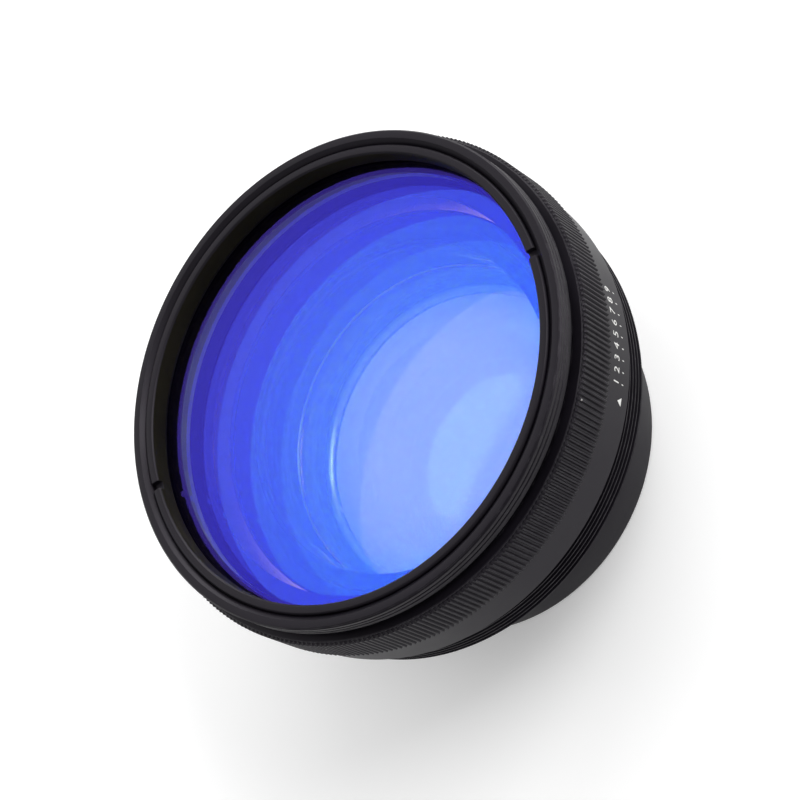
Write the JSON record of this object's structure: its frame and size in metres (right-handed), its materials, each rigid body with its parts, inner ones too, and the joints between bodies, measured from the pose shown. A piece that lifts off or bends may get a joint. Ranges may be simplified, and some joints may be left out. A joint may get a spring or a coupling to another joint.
{
  "type": "f theta scan lens",
  "caption": "Flat-field scan lens for a laser marking head, with a coated window in front, a knurled grip ring and a fine outside mount thread behind.",
  "frame": {"origin": "centre of the rear rim, on the optical axis, where the lens stands", "axes": "+Z along the optical axis from the scanner side to the window, +X through a spanner slot of the window ring"},
  "size_m": [0.09, 0.09, 0.05],
  "materials": {
    "black_anodised": "satin black anodised",
    "knurled_black": "knurled, satin black anodised",
    "window_glass": "polished, coated both sides",
    "coated_glass": "polished, coated both sides",
    "seal_rubber": "matte black",
    "seat_polymer": "matte black",
    "shim_brass": "plain rolled",
    "screw_steel": "black oxide"
  },
  "bodies": {
    "root": {"front_cell": "black_anodised", "window_retaining_ring": "black_anodised", "protective_window": "window_glass", "window_seal": "seal_rubber", "knurled_ring": "knurled_black", "main_barrel": "black_anodised", "cell_seal": "seal_rubber", "front_seat_ring": "seat_polymer", "element_4": "coated_glass", "front_spacer": "black_anodised", "element_3": "coated_glass", "element_3_shim": "shim_brass", "glare_stop": "black_anodised", "element_2_ring": "black_anodised", "element_2": "coated_glass", "rear_barrel": "black_anodised", "element_1": "coated_glass", "rear_seal": "seal_rubber", "rear_retaining_ring": "black_anodised", "barrel_lock_screws": "screw_steel"}
  },
  "joints": []
}
